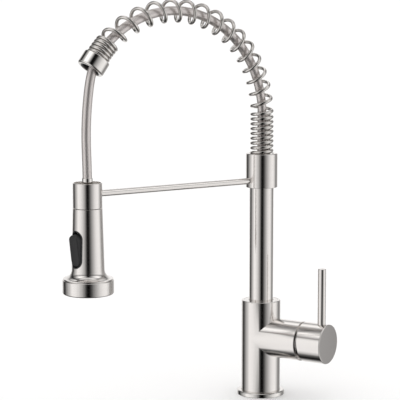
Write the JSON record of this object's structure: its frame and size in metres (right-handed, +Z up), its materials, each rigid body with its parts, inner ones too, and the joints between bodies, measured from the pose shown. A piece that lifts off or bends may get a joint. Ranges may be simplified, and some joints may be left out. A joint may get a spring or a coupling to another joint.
{
  "type": "pull down kitchen faucet",
  "caption": "Single-handle kitchen faucet with a spring arch over a slim column, a support rod with a holder ring, and a pull-down spray head with a rocker button.",
  "frame": {"origin": "centre of the base on the deck plane, under the column's axis", "axes": "+Z up along the column, +X along the handle's side arm away from the column, -Y towards the user; at rest the spout points 245.25 degrees round from +X, to the left and towards the user"},
  "size_m": [0.2078, 0.2579, 0.4491],
  "materials": {
    "brushed_nickel": "brushed nickel plating with a fine grain, satin",
    "polished_nickel": "polished nickel plating",
    "brass": "machined",
    "steel": "turned stainless steel",
    "light_plastic": "moulded acetal",
    "black_plastic": "moulded, glossy black",
    "button_plastic": "moulded, soft-touch charcoal",
    "black_rubber": "moulded rubber",
    "grey_rubber": "moulded silicone",
    "ceramic": "ground alumina",
    "braided_hose": "fine woven nylon sleeve, satin"
  },
  "bodies": {
    "valve": {"base_ring": "polished_nickel", "deck_gasket": "black_rubber", "valve_body": "brushed_nickel", "lower_swivel_bush": "light_plastic", "swivel_o_ring": "black_rubber", "upper_swivel_bush": "light_plastic", "gland_ring": "brushed_nickel", "cartridge_seals": "black_rubber", "cartridge_base": "light_plastic", "fixed_ceramic_disc": "ceramic", "cartridge_housing": "light_plastic", "cartridge_nut": "brass", "trim_dome": "brushed_nickel"},
    "spout": {"snap_ring": "steel", "column_tube": "brushed_nickel", "collar": "brushed_nickel", "collar_screw": "steel", "hose_guide_bush": "black_plastic", "spring": "polished_nickel", "end_nut": "polished_nickel", "nut_liner": "black_plastic", "support_rod": "brushed_nickel", "holder_ring": "brushed_nickel", "holder_liner": "light_plastic", "spray_hose": "braided_hose"},
    "hose_end": {"hose_ferrule": "polished_nickel", "hose_stem": "brass"},
    "hose_tail": {"hose_tail_fitting": "brass"},
    "spray_head": {"head_shell": "brushed_nickel", "waterway_insert": "light_plastic", "swivel_nut": "brass", "hose_washer": "black_rubber", "check_valve": "light_plastic", "button_bezel": "black_plastic", "rocker_pin": "steel", "face_ring": "brushed_nickel", "spray_plate": "black_plastic", "nozzle_mat": "grey_rubber", "aerator": "light_plastic", "aerator_screen": "steel", "diffuser": "light_plastic", "diffuser_screws": "steel", "face_seal": "black_rubber"},
    "rocker": {"rocker_button": "button_plastic"},
    "diverter": {"diverter_spool": "light_plastic"},
    "mixer": {"cartridge_rotor": "light_plastic", "stem_pin": "steel"},
    "disc_slider": {"moving_ceramic_disc": "ceramic", "disc_carrier": "light_plastic"},
    "handle": {"handle_stem": "brass", "handle_cap": "brushed_nickel", "lever_rod": "brushed_nickel", "handle_set_screw": "steel", "screw_plug": "black_plastic"}
  },
  "joints": [
    {"name": "spout_swivel", "type": "hinge", "parent": "valve", "child": "spout", "pos_m": [0, 0, 0.1], "axis": [0, 0, 1], "continuous": true},
    {"name": "spray_pull", "type": "slide", "parent": "spout", "child": "hose_end", "axis": [0, 0, -1], "range_m": [0, 0.13], "deforming": ["spray_hose"]},
    {"name": "hose_tail_slide", "type": "slide", "parent": "spout", "child": "hose_tail", "axis": [0, 0, 1], "range_m": [0, 0.13]},
    {"name": "spray_head_spin", "type": "hinge", "parent": "hose_end", "child": "spray_head", "pos_m": [-0.09378, -0.20342, 0.222], "axis": [0, 0, 1], "continuous": true},
    {"name": "mode_rocker", "type": "hinge", "parent": "spray_head", "child": "rocker", "pos_m": [-0.09696, -0.21551, 0.1876], "axis": [-0.967, 0.2546, 0], "range_deg": [0, 14]},
    {"name": "diverter_slide", "type": "slide", "parent": "spray_head", "child": "diverter", "axis": [0, 0, -1], "range_m": [0, 0.0026]},
    {"name": "temperature_turn", "type": "hinge", "parent": "valve", "child": "mixer", "pos_m": [0.05, 0, 0.0666], "axis": [1, 0, 0], "range_deg": [-45, 45]},
    {"name": "handle_lift", "type": "hinge", "parent": "mixer", "child": "handle", "pos_m": [0.042, 0, 0.0666], "axis": [0, 1, 0], "range_deg": [0, 25]},
    {"name": "disc_slide", "type": "slide", "parent": "mixer", "child": "disc_slider", "axis": [0, 0, 1], "range_m": [0, 0.0045]}
  ],
  "couplings": [
    {"joint": "hose_tail_slide", "follows": "spray_pull", "ratio": 1},
    {"joint": "diverter_slide", "follows": "mode_rocker", "m_per_rad": 0.0098},
    {"joint": "disc_slide", "follows": "handle_lift", "m_per_rad": 0.01}
  ]
}
